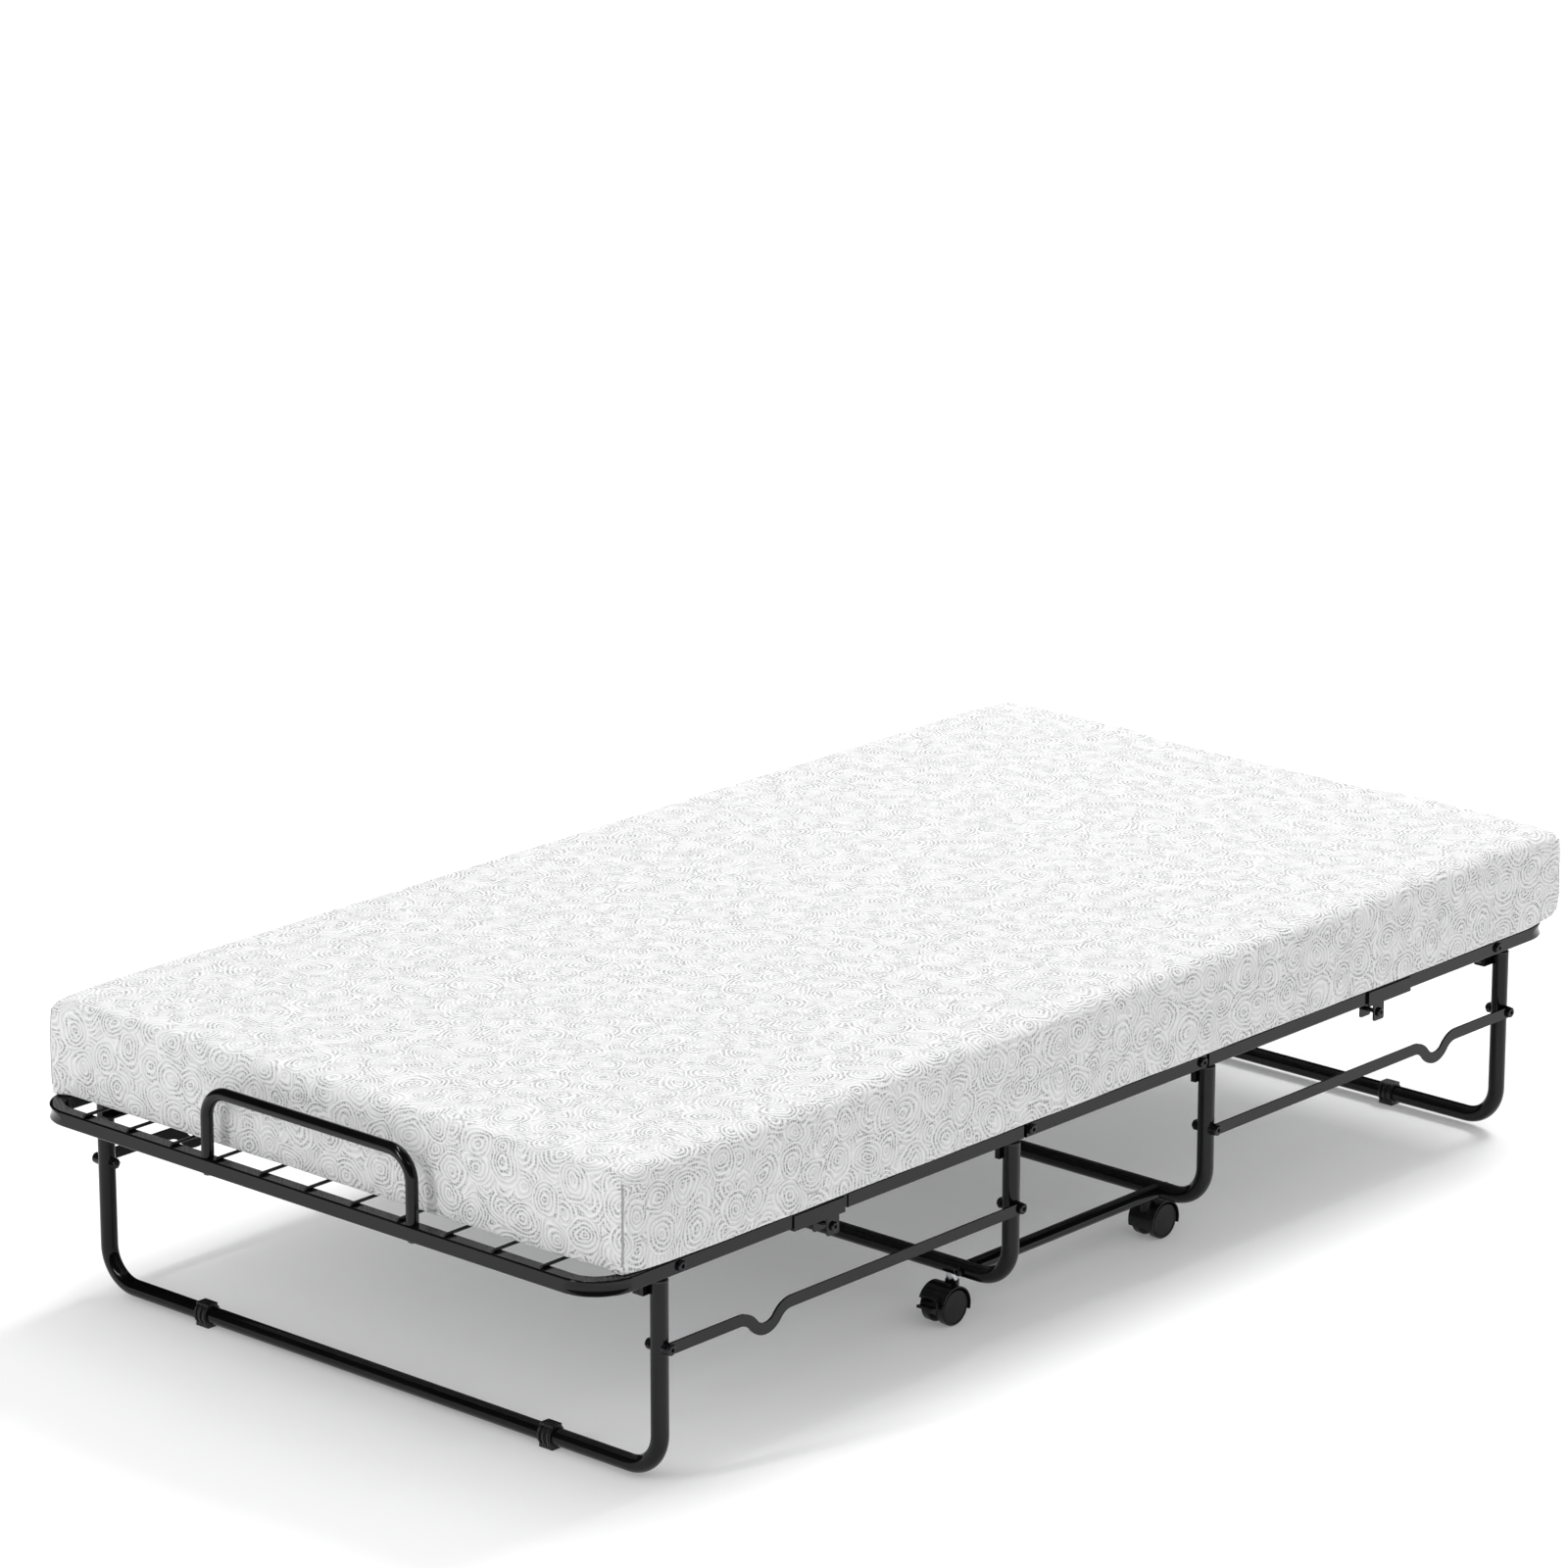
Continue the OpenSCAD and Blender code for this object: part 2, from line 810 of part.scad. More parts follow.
module end_leg_bracket() {
    web_y = rail_in - plate - 2.6;
    web = plate + 2;
    pivot = -pivot_x - arm_length;
    difference() {
        union() {
            translate([end_leg_x - 18, web_y, rail_low - 22]) cube([42.5, web, rail + 12]);
            translate([end_leg_x - 18, web_y, pivot_height - 9]) cube([42.5, web, 18]);
            translate([pivot, web_y + web, pivot_height]) rotate([90, 0, 0]) cylinder(h = web, r = 9);
            translate([end_leg_x - 18, web_y - 12, rail_low - 22]) cube([42.5, 12, plate]);
        }
        translate([end_leg_x, leg_y, 0]) round_rod(leg_top + 50, leg_r + fixed_gap);
        y_hole(pivot, pivot_height, bolt_r + running_gap);
    }
}

module end_leg_brackets() {
    both_sides() end_leg_bracket();
}

module end_leg_caps() {
    both_sides() leg_cap(end_leg_x);
}

module end_leg_pad() {
    width = 22;
    translate([end_leg_x, foot_pad_y - width / 2, foot_tube_height]) difference() {
        union() {
            rotate([-90, 0, 0]) cylinder(h = width, r = leg_r + 2.2);
            for (k = [0, 1, 2]) translate([0, 2 + k * 7.5, 0]) rotate([-90, 0, 0])
                cylinder(h = 3, r = leg_r + 3.4);
            translate([-9, 0, -foot_tube_height]) cube([18, width, 6]);
            translate([-8, 0, leg_r]) cube([16, width, 3.8]);
        }
        translate([0, -5, 0]) rotate([-90, 0, 0]) round_rod(width + 10, leg_r + fixed_gap);
    }
}

module end_leg_pads() {
    both_sides() end_leg_pad();
}

module foot_leg() {
    color(frame_colour) foot_half() end_leg();
}

module foot_leg_brackets() {
    color(frame_colour) foot_half() end_leg_brackets();
}

module foot_leg_caps() {
    color(plastic_colour) foot_half() end_leg_caps();
}

module foot_leg_pads() {
    color(plastic_colour) foot_half() end_leg_pads();
}

module foot_leg_link_bolts() {
    color(bolt_colour) foot_half() both_sides() link_bolt(end_leg_x);
}

module head_leg() {
    color(frame_colour) head_half() end_leg();
}

module head_leg_brackets() {
    color(frame_colour) head_half() end_leg_brackets();
}

module head_leg_caps() {
    color(plastic_colour) head_half() end_leg_caps();
}

module head_leg_pads() {
    color(plastic_colour) head_half() end_leg_pads();
}

module head_leg_link_bolts() {
    color(bolt_colour) head_half() both_sides() link_bolt(end_leg_x);
}

// Links. A strap is drawn flat along +X, bowing to -Y.

module strap_arc(r, from, angle) {
    rotate([0, 0, from]) rotate_extrude(angle = angle) translate([r - link_width / 2, 0])
        square([link_width, link_thickness]);
}

// The strap's straights and arcs stop just short of each other, inside a disc at each join.
module link_strap() {
    turn = 2 * atan(bow_height / bow_half);
    radii = bow_half / sin(turn);
    middle_r = radii * 0.46;
    side_r = radii - middle_r;
    short = 0.25;
    join_r = link_width / 2 + 0.15;
    difference() {
        union() {
            cylinder(h = link_thickness, r = link_width / 2);
            translate([arm_length, 0, 0]) cylinder(h = link_thickness, r = link_width / 2);
            translate([0, -link_width / 2, 0])
                cube([bow_place - bow_half - short, link_width, link_thickness]);
            translate([bow_place + bow_half + short, -link_width / 2, 0])
                cube([arm_length - bow_place - bow_half - short, link_width, link_thickness]);
            for (s = [0, 1]) translate([bow_place, 0, 0]) mirror([s, 0, 0]) {
                translate([-bow_half, -side_r, 0]) {
                    strap_arc(side_r, 90 - turn + short, turn - 2 * short);
                    translate([0, side_r, 0]) cylinder(h = link_thickness, r = join_r);
                    rotate([0, 0, 90 - turn]) translate([side_r, 0, 0])
                        cylinder(h = link_thickness, r = join_r);
                }
            }
            translate([bow_place, middle_r - bow_height, 0])
                strap_arc(middle_r, 270 - turn + short, 2 * (turn - short));
        }
        for (x = [0, arm_length]) translate([x, 0, -1]) round_rod(link_thickness + 2, bolt_r + running_gap);
    }
}

module links() {
    both_sides() translate([-caster_x, link_inner + link_thickness, link_z])
        rotate([90, 0, 0]) mirror([1, 0, 0]) link_strap();
}

module foot_links() {
    color(frame_colour) foot_half() links();
}

module head_links() {
    color(frame_colour) head_half() links();
}

// Latch: a ring on the head loop's grip, a band and an open hook. Drawn hanging down from the grip.
module latch() {
    ring_r = loop_tube / 2 + running_gap;
    width = 16;
    color(bolt_colour) centred() translate([grip_x, width / 2, grip_z]) rotate([90, 0, 0])
    rotate([0, 0, latch_lean - 90]) {
        difference() {
            union() {
                cylinder(h = width, r = ring_r + latch_band);
                translate([ring_r + 1, -latch_band / 2, 1])
                    cube([latch_reach - ring_r - hook_r - 2, latch_band, width - 2]);
            }
            translate([0, 0, -1]) cylinder(h = width + 2, r = ring_r);
        }
        translate([latch_reach, 0, 0]) rotate([0, 0, 160]) rotate_extrude(angle = 200 + hook_tip)
            translate([hook_r, 0]) square([latch_band, width]);
    }
}

centre_side_rails();
centre_crossbars();
centre_wires();
foot_wheel_leg();
head_wheel_leg();
stretchers();
wheel_leg_brackets();
wheel_leg_caps();
fold_pivot_bolts();
wheel_leg_link_bolts();
stretcher_bolts();
caster_sockets();
mattress_centre();
hood_foot_near();
hood_foot_far();
hood_head_near();
hood_head_far();
wheels_foot_near();
wheels_foot_far();
wheels_head_near();
wheels_head_far();
brake_lever_near();
brake_lever_far();
foot_end_frame();
foot_mid_rails();
foot_crossbars();
foot_end_wires();
foot_mid_wires();
foot_splice_channels();
foot_hinge_plates();
foot_handle_loop();
foot_frame_bolts();
foot_leg_pivot_bolts();
foot_mattress();
head_end_frame();
head_mid_rails();
head_crossbars();
head_end_wires();
head_mid_wires();
head_splice_channels();
head_hinge_plates();
head_handle_loop();
head_frame_bolts();
head_leg_pivot_bolts();
head_mattress();
foot_leg();
foot_leg_brackets();
foot_leg_caps();
foot_leg_pads();
foot_leg_link_bolts();
head_leg();
head_leg_brackets();
head_leg_caps();
head_leg_pads();
head_leg_link_bolts();
foot_links();
head_links();
latch();
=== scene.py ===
import json
import math

import bmesh
import bpy
import numpy as np
from mathutils import Euler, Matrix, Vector, noise


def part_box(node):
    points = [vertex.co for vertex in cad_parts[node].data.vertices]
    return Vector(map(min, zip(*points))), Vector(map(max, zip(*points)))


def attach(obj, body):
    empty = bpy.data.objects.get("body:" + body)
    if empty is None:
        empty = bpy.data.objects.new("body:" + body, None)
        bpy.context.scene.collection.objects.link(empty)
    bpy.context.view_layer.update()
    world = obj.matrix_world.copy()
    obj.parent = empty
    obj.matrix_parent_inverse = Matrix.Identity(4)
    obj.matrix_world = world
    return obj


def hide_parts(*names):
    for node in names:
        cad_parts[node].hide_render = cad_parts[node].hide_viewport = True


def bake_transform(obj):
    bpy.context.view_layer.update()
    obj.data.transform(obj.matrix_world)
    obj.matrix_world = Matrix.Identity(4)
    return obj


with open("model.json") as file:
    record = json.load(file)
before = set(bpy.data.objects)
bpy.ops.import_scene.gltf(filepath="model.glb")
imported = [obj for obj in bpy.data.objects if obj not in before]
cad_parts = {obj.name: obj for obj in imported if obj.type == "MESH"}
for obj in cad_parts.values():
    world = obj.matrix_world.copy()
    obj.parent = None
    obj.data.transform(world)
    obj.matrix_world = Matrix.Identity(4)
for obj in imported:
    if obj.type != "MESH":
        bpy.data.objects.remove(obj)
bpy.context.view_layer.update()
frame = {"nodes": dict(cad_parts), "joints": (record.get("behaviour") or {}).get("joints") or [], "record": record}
scene = bpy.context.scene
scene.view_settings.view_transform = "Standard"
mm = 0.001
joints = {j["name"]: j for j in frame["joints"]}
footPivot = Vector(joints["foot_deck_fold"]["pos_m"])
headPivot = Vector(joints["head_deck_fold"]["pos_m"])
middleX = (footPivot.x + headPivot.x) / 2
print("frame loaded:", len(frame["nodes"]), "nodes")


# Camera and studio

camera = {
    "place": (-5.97448 + middleX, -5.28620, 2.94300),
    "turn": (73.536, 0.0, -48.093),  # degrees
    "lens": 147.22,
    "sensor": 36.0,
    "seesTo": 60,
}
studio = {
    "floorHalf": 30,
    "floorColour": "#e6e6e6",
    "skyColour": "#ffffff",
    "skyPower": 1.0,  # how bright the sky looks
    "fillPower": 0.72,  # how strongly the sky lights the object
    "floorGlow": (0.16, 0.5),  # painted light: the floor glows by itself, faintly under and near the object, where this lifts the cast shadow, and more strongly away from it, into the sky
    "glowReach": (1.4, 3.6),
    "softboxes": [
        # place, aim, width, height, watts
        ((4.4, 0.2, 5.8), (0.0, 0.0, 0.2), 2.6, 2.6, 340.0),
        ((-1.6, -3.4, 3.4), (0.0, 0.0, 0.3), 2.6, 0.12, 10.0),
        ((-4.3, 0.5, 2.2), (-0.4, 0.0, 0.2), 0.2, 2.2, 42.0),
        ((-0.7, 0.3, 4.6), (-0.6, 0.0, 0.2), 3.4, 0.3, 40.0),
    ],
}


def toLinear(code):
    parts = [int(code[i : i + 2], 16) / 255 for i in (1, 3, 5)]
    return tuple(
        c / 12.92 if c <= 0.04045 else ((c + 0.055) / 1.055) ** 2.4 for c in parts
    ) + (1.0,)


def addNode(tree, kind, settings=None, links=None):
    node = tree.nodes.new(kind)
    for name, value in (settings or {}).items():
        if isinstance(name, int) or name in node.inputs:
            node.inputs[name].default_value = value
        else:
            setattr(node, name, value)
    for name, socket in (links or {}).items():
        tree.links.new(socket, node.inputs[name])
    return node


def newMaterial(name):
    material = bpy.data.materials.new(name)
    material.use_nodes = True
    material.node_tree.nodes.clear()
    return material, material.node_tree


def finishMaterial(tree, settings, links):
    shader = addNode(tree, "ShaderNodeBsdfPrincipled", settings, links)
    addNode(
        tree, "ShaderNodeOutputMaterial", None, {"Surface": shader.outputs["BSDF"]}
    )


def ramp(tree, factor, stops):
    node = addNode(tree, "ShaderNodeValToRGB", None, {"Fac": factor})
    for element, (position, colour) in zip(node.color_ramp.elements, stops):
        element.position = position
        element.color = toLinear(colour)
    return node.outputs["Color"]


def bandScale(pitch):
    # the wave texture repeats 10 / pi times in a metre at scale 1
    return math.pi / 10 / pitch


def setUpCamera():
    data = bpy.data.cameras.new("bedCamera")
    data.lens = camera["lens"]
    data.sensor_width = camera["sensor"]
    data.clip_end = camera["seesTo"]
    obj = bpy.data.objects.new("bedCamera", data)
    obj.location = camera["place"]
    obj.rotation_euler = Euler([math.radians(a) for a in camera["turn"]])
    scene.collection.objects.link(obj)
    scene.camera = obj


def setUpStudio():
    world = bpy.data.worlds.new("studioSky")
    world.use_nodes = True
    world.node_tree.nodes.clear()
    seen = addNode(world.node_tree, "ShaderNodeLightPath").outputs["Is Camera Ray"]
    power = addNode(
        world.node_tree,
        "ShaderNodeMapRange",
        {"To Min": studio["fillPower"], "To Max": studio["skyPower"]},
        {"Value": seen},
    ).outputs["Result"]
    sky = addNode(
        world.node_tree,
        "ShaderNodeBackground",
        {"Color": toLinear(studio["skyColour"])},
        {"Strength": power},
    )
    addNode(
        world.node_tree,
        "ShaderNodeOutputWorld",
        None,
        {"Surface": sky.outputs["Background"]},
    )
    scene.world = world
    # black gloss shows the softboxes and the floor, and stays dark where it faces the sky
    world.cycles_visibility.glossy = False
    for i, (place, aim, width, height, watts) in enumerate(studio["softboxes"]):
        data = bpy.data.lights.new(f"softbox{i}", "AREA")
        data.shape = "RECTANGLE"
        data.size, data.size_y = width, height
        data.energy = watts
        obj = bpy.data.objects.new(f"softbox{i}", data)
        obj.location = place
        obj.rotation_euler = (
            (Vector(aim) - Vector(place)).to_track_quat("-Z", "Y").to_euler()
        )
        scene.collection.objects.link(obj)
    mesh = bpy.data.meshes.new("studioFloor")
    far = studio["floorHalf"]
    mesh.from_pydata(
        [(-far, -far, 0), (far, -far, 0), (far, far, 0), (-far, far, 0)],
        [],
        [(0, 1, 2, 3)],
    )
    floor = bpy.data.objects.new("studioFloor", mesh)
    scene.collection.objects.link(floor)
    material, tree = newMaterial("paintedFloor")
    place = addNode(tree, "ShaderNodeTexCoord").outputs["Object"]
    away = addNode(
        tree, "ShaderNodeVectorMath", {"operation": "LENGTH"}, {0: place}
    ).outputs["Value"]
    (nearGlow, farGlow), (start, end) = studio["floorGlow"], studio["glowReach"]
    # painted light: the floor's glow grows with its distance from the object
    glow = addNode(
        tree,
        "ShaderNodeMapRange",
        {"From Min": start, "From Max": end, "To Min": nearGlow, "To Max": farGlow},
        {"Value": away},
    ).outputs["Result"]
    finishMaterial(
        tree,
        {
            "Base Color": toLinear(studio["floorColour"]),
            "Roughness": 0.9,
            "Specular IOR Level": 0.1,
            "Emission Color": toLinear(studio["skyColour"]),
        },
        {"Emission Strength": glow},
    )
    mesh.materials.append(material)


setUpCamera()
setUpStudio()
print("camera and studio ready")


# Finishes of the metal and plastic parts

powderCoat = {  # polyester powder coat, sprayed and baked: semi-gloss, with a faint orange peel
    "dark": "#070708",
    "light": "#0f0f10",
    "roughness": (0.12, 0.18),
    "peelSize": 2.4 * mm,  # really about 1 mm, drawn coarser so that it shows
    "peelDepth": 0.05 * mm,
    "cloudSize": 120 * mm,
    "specular": 0.26,
    "metallic": 0.0,
}
zincBolt = {  # black zinc on rolled and pressed steel: smooth, with a dark metallic shine
    "dark": "#232325",
    "light": "#39393c",
    "roughness": (0.2, 0.34),
    "peelSize": 1.6 * mm,
    "peelDepth": 0.02 * mm,
    "cloudSize": 9 * mm,
    "specular": 0.5,
    "metallic": 0.85,
}
mouldedNylon = {  # injection-moulded black nylon: the hoods, levers and wheels of the casters
    "dark": "#0b0b0c",
    "light": "#141415",
    "roughness": (0.2, 0.3),
    "peelSize": 1.8 * mm,
    "peelDepth": 0.03 * mm,
    "cloudSize": 30 * mm,
    "specular": 0.3,
    "metallic": 0.0,
}
softPolythene = {  # low-density polythene: tube caps, foot clips and the latch strap, matt and waxy
    "dark": "#131314",
    "light": "#1d1d1f",
    "roughness": (0.42, 0.56),
    "peelSize": 2.0 * mm,
    "peelDepth": 0.05 * mm,
    "cloudSize": 25 * mm,
    "specular": 0.5,
    "metallic": 0.0,
}


def coatedMaterial(name, finish):
    material, tree = newMaterial(name)
    place = addNode(tree, "ShaderNodeTexCoord").outputs["Object"]
    cloud = addNode(
        tree,
        "ShaderNodeTexNoise",
        {"Scale": 1 / finish["cloudSize"], "Detail": 3.0},
        {"Vector": place},
    ).outputs["Fac"]
    peel = addNode(
        tree,
        "ShaderNodeTexNoise",
        {"Scale": 1 / finish["peelSize"], "Detail": 2.0},
        {"Vector": place},
    ).outputs["Fac"]
    colour = ramp(tree, cloud, [(0.3, finish["dark"]), (0.75, finish["light"])])
    low, high = finish["roughness"]
    rough = addNode(
        tree,
        "ShaderNodeMapRange",
        {"From Min": 0.3, "From Max": 0.7, "To Min": low, "To Max": high},
        {"Value": cloud},
    ).outputs["Result"]
    bump = addNode(
        tree,
        "ShaderNodeBump",
        {"Strength": 0.6, "Distance": finish["peelDepth"]},
        {"Height": peel},
    ).outputs["Normal"]
    finishMaterial(
        tree,
        {"Specular IOR Level": finish["specular"], "Metallic": finish["metallic"]},
        {"Base Color": colour, "Roughness": rough, "Normal": bump},
    )
    return material


chromePlate = {  # nickel-chrome plate, buffed: mirror-like with faint turning marks round the stem
    "colour": "#cfd1d3",
    "roughness": (0.1, 0.2),
    "markPitch": 6.9115 * mm,  # really about 0.2 mm, drawn coarser so that they show
    "markWander": 0.4,
}


def chromeMaterial():
    material, tree = newMaterial("chromePlate")
    place = addNode(tree, "ShaderNodeTexCoord").outputs["Object"]
    marks = addNode(
        tree,
        "ShaderNodeTexWave",
        {
            "bands_direction": "Z",
            "Scale": bandScale(chromePlate["markPitch"]),
            "Distortion": chromePlate["markWander"],
        },
        {"Vector": place},
    ).outputs["Fac"]
    low, high = chromePlate["roughness"]
    rough = addNode(
        tree, "ShaderNodeMapRange", {"To Min": low, "To Max": high}, {"Value": marks}
    ).outputs["Result"]
    finishMaterial(
        tree,
        {"Base Color": toLinear(chromePlate["colour"]), "Metallic": 1.0},
        {"Roughness": rough},
    )
    return material


finishes = {
    "frame_paint": coatedMaterial("satinPowderCoat", powderCoat),
    "hardware": coatedMaterial("blackZinc", zincBolt),
    "caster_collar": chromeMaterial(),
    "caster_wheel": coatedMaterial("nylonWheel", mouldedNylon),
    "caster_body": coatedMaterial("nylonHood", mouldedNylon),
    "tube_plastic": coatedMaterial("polytheneCap", softPolythene),
    "latch_plastic": coatedMaterial("polytheneStrap", softPolythene),
}

ribbedClip = {  # the foot clips of the leg tubes, moulded with ribs round the tube
    "roughness": 0.4,
    "ribPitch": 4.2 * mm,
    "ribDepth": 0.8 * mm,
}


def ribbedMaterial():
    material, tree = newMaterial("ribbedPolythene")
    place = addNode(tree, "ShaderNodeTexCoord").outputs["Object"]
    ribs = addNode(
        tree,
        "ShaderNodeTexWave",
        {"bands_direction": "Y", "Scale": bandScale(ribbedClip["ribPitch"])},
        {"Vector": place},
    ).outputs["Fac"]
    bump = addNode(
        tree,
        "ShaderNodeBump",
        {"Strength": 1.0, "Distance": ribbedClip["ribDepth"]},
        {"Height": ribs},
    ).outputs["Normal"]
    finishMaterial(
        tree,
        {
            "Base Color": toLinear(softPolythene["dark"]),
            "Roughness": ribbedClip["roughness"],
        },
        {"Normal": bump},
    )
    return material


for row in frame["record"]["subparts"]:
    if row["material_slot"] in finishes:
        for slot in frame["nodes"][row["node"]].material_slots:
            slot.material = finishes[row["material_slot"]]
ribbed = ribbedMaterial()
for name in ("foot_leg_pads", "head_leg_pads"):
    for slot in frame["nodes"][name].material_slots:
        slot.material = ribbed
print("finishes given to the frame")


# Mattress

mattress = {
    "topRound": 12 * mm,
    "bottomRound": 3.5 * mm,
    "headRound": 15 * mm,  # the lower edge at the head end, reached over headReach
    "headReach": 60 * mm,
    "cornerRound": 8 * mm,
    "step": 15 * mm,
    "edgeSteps": (0, 0.22, 0.48, 0.75, 1),  # where the mesh is cut across a rounded edge
    "sideBulge": 9 * mm,
    "sideReach": 0.1,  # the share of the half width that takes part in the bulge
    "footBulge": 7 * mm,
    "headBulge": 22 * mm,  # on both sides of the handle loop
    "endReach": 0.06,
    "waist": 0.8,  # the head bulge at mid height, against its fullest
    "topHold": 0.6,  # how much of the bulge the top and bottom seams hold back
    "bottomHold": 0.1,
    "loopClear": (190 * mm, 245 * mm),
    "railSag": 4.7 * mm,  # the edge sinks onto the side rails
    "railReach": (14 * mm, 26 * mm),
    "crown": 3 * mm,
    "cornerDrop": 6.6 * mm,
    "cornerPull": 5 * mm,
    "cornerPower": (30, 16),  # how sharply a corner's pull fades along and across the bed
    "cornerHold": 0.65,
    "bulgeFade": (14, 10),  # the side and foot bulges fade towards the near foot corner
    "crownPower": (6, 4),
    "ripple": 1.3 * mm,
    "rippleSize": 110 * mm,
    "fineRipple": (2.7, 0.4),  # a finer ripple's count and height against the first
    "flatBelow": -0.8,  # under this share of the half height the foam lies on the wires
    "flatRipple": 0.1,
    "noisePlace": (11, 3.1, 7.7),
    "seed": 11,
    "border": 80 * mm,
    "foldReach": 140 * mm,
    "foldStart": 41.0,  # degrees about the fold pivot, from the middle's side
    "foldEnd": 139.0,
    "fill": 0.9,  # how much of its box the foam fills
}


def cuts(low, high, lowRound, highRound, step, fixed=()):
    near = [low + lowRound * f for f in mattress["edgeSteps"]]
    far = [high - highRound * f for f in reversed(mattress["edgeSteps"])]
    stops = [near[-1], *sorted(fixed), far[0]]
    middle = []
    for a, b in zip(stops, stops[1:]):
        count = max(1, round((b - a) / step))
        middle += [a + (b - a) * i / count for i in range(1, count + 1)]
    return near + middle[:-1] + far


def eased(value, low, high):
    t = min(1.0, max(0.0, (value - low) / (high - low)))
    return t * t * (3 - 2 * t)


def roundedCorner(p, half, centre):
    # moves a point of the sharp box to where rounded edges put it
    m = mattress
    q = [p[0] - centre[0], p[1] - centre[1], p[2] - centre[2]]
    size = [abs(q[0]), abs(q[1])]
    over = [max(0.0, size[i] - (half[i] - m["cornerRound"])) for i in (0, 1)]
    if over[0] > 0 and over[1] > 0:
        scale = max(over) / math.hypot(*over)
        size = [size[i] - over[i] * (1 - scale) for i in (0, 1)]
    r = m["topRound"]
    if q[2] <= 0:
        atHead = eased(q[0], half[0] - m["headReach"], half[0])
        r = m["bottomRound"] + (m["headRound"] - m["bottomRound"]) * atHead
    e = [max(0.0, size[i] - (half[i] - r)) / r for i in (0, 1)]
    up = max(0.0, abs(q[2]) - (half[2] - r)) / r
    side = max(e)
    z = abs(q[2])
    if side > 0 and up > 0:
        scale = max(side, up) / math.hypot(side, up)
        size = [size[i] - r * e[i] * (1 - scale) for i in (0, 1)]
        z -= r * up * (1 - scale)
    return Vector(
        (
            centre[0] + math.copysign(size[0], q[0]),
            centre[1] + math.copysign(size[1], q[1]),
            centre[2] + math.copysign(z, q[2]),
        )
    )


def softened(p, half, centre):
    # foam pushes the cover out between its seams; the near foot corner is drawn tight
    m = mattress
    q = [(p[i] - centre[i]) / half[i] for i in range(3)]
    along, across = m["cornerPower"]
    rise = 1 - (m["topHold"] if q[2] > 0 else m["bottomHold"]) * q[2] ** 4
    atFoot, atNear = max(0.0, -q[0]), max(0.0, -q[1])
    sideFade, footFade = m["bulgeFade"]
    out = Vector((0, 0, 0))
    weight = max(0.0, 1 - (1 - abs(q[1])) / m["sideReach"]) ** 2
    if q[1] < 0:
        weight *= 1 - atFoot**sideFade
    out.y = math.copysign(m["sideBulge"] * rise * weight, q[1])
    weight = max(0.0, 1 - (1 - abs(q[0])) / m["endReach"]) ** 2
    if q[0] < 0:
        out.x = -m["footBulge"] * rise * weight * (1 - atNear**footFade)
    else:
        waist = m["waist"] * (1 + abs(q[2]) * (1 - abs(q[2])))
        out.x = m["headBulge"] * waist * weight * eased(abs(p[1]), *m["loopClear"])
    corner = abs(q[0]) ** along * abs(q[1]) ** across
    tight = atFoot**along * atNear**across
    pull = m["cornerPull"] * tight * (1 - m["cornerHold"] * (1 - rise))
    out.x += pull
    out.y += pull
    if q[2] > 0:
        long, wide = m["crownPower"]
        out.z = m["crown"] * (1 - q[0] ** long) * (1 - q[1] ** wide) * q[2] ** 2
        out.z -= m["cornerDrop"] * corner * q[2]
    else:
        near, far = m["railReach"]
        edge = min(half[1] * (1 - abs(q[1])), half[0] * (1 - q[0]))
        out.z = -m["railSag"] * q[2] ** 4 * (1 - eased(edge, near, far))
    place = Vector(p) / m["rippleSize"] + Vector(m["noisePlace"])
    count, height = m["fineRipple"]
    wave = noise.noise_vector(place) * m["ripple"]
    wave += noise.noise_vector(place * count) * (m["ripple"] * height)
    if q[2] < m["flatBelow"]:
        wave.z = max(0.0, wave.z) * m["flatRipple"]
    return Vector(p) + out + wave


def clothPlace(p, face, low, high):
    # where a point of the cover lies on the flat cloth: the sides fold down from the top,
    # and the underside lies 3 m aside
    drop = high[2] - p[2]
    return {
        "top": (p[0], p[1]),
        "bottom": (p[0], p[1] + 3),
        "near": (p[0], low[1] - drop),
        "far": (p[0], high[1] + drop),
        "foot": (low[0] - drop, p[1]),
        "head": (high[0] + drop, p[1]),
    }[face]


